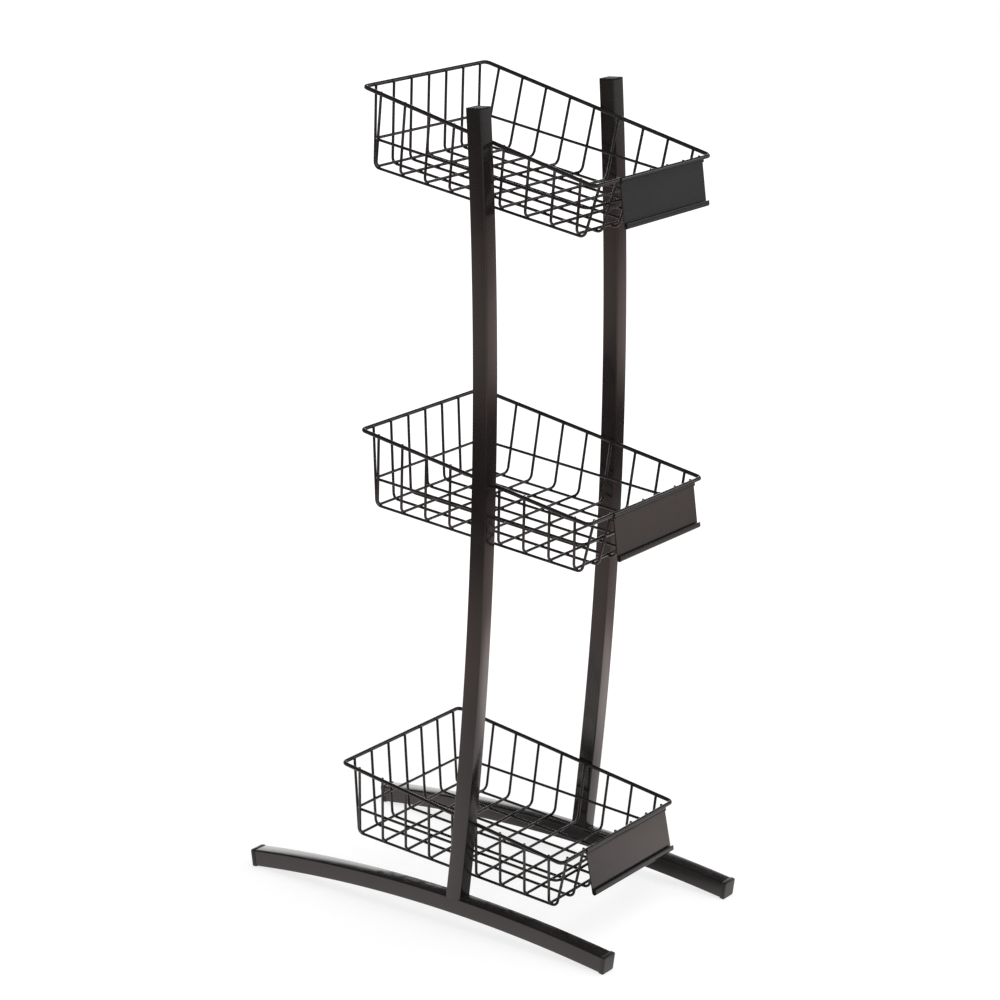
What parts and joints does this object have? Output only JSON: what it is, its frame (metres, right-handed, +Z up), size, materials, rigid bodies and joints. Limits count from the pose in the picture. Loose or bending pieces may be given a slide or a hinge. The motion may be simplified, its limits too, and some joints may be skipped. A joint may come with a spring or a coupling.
{
  "type": "wire basket display stand",
  "caption": "Slim free-standing metal stand with two bowed square-tube side frames on arched feet, carrying sloping wire baskets one above another, each with a tilting clip-on ticket holder.",
  "frame": {"origin": "on the floor, at the middle of the stand's footprint", "axes": "+Z up, +X to the right as the customer sees it, and the customer stands in front at -Y"},
  "size_m": [0.2984, 0.5602, 1.0442],
  "materials": {
    "tube_paint": "gloss powder coat",
    "wire_paint": "gloss powder coat",
    "cap_plastic": "satin moulded",
    "holder_plastic": "satin extruded"
  },
  "bodies": {
    "stand": {"left_foot_bar": "tube_paint", "right_foot_bar": "tube_paint", "left_upright": "tube_paint", "right_upright": "tube_paint", "left_front_cap": "cap_plastic", "left_rear_cap": "cap_plastic", "right_front_cap": "cap_plastic", "right_rear_cap": "cap_plastic", "left_upright_plug": "cap_plastic", "right_upright_plug": "cap_plastic", "top_rim": "wire_paint", "top_ring": "wire_paint", "top_cross_wires": "wire_paint", "top_long_wires": "wire_paint", "middle_rim": "wire_paint", "middle_ring": "wire_paint", "middle_cross_wires": "wire_paint", "middle_long_wires": "wire_paint", "bottom_rim": "wire_paint", "bottom_ring": "wire_paint", "bottom_cross_wires": "wire_paint", "bottom_long_wires": "wire_paint"},
    "top_holder": {"top_ticket_holder": "holder_plastic"},
    "middle_holder": {"middle_ticket_holder": "holder_plastic"},
    "bottom_holder": {"bottom_ticket_holder": "holder_plastic"}
  },
  "joints": [
    {"name": "top_holder_tilt", "type": "hinge", "parent": "stand", "child": "top_holder", "pos_m": [0.015, -0.23393, 0.95889], "axis": [-1, 0, 0], "range_deg": [-8, 60]},
    {"name": "middle_holder_tilt", "type": "hinge", "parent": "stand", "child": "middle_holder", "pos_m": [0.015, -0.23108, 0.55445], "axis": [-1, 0, 0], "range_deg": [-4, 64]},
    {"name": "bottom_holder_tilt", "type": "hinge", "parent": "stand", "child": "bottom_holder", "pos_m": [0.015, -0.19763, 0.11605], "axis": [-1, 0, 0], "range_deg": [-7, 61]}
  ]
}
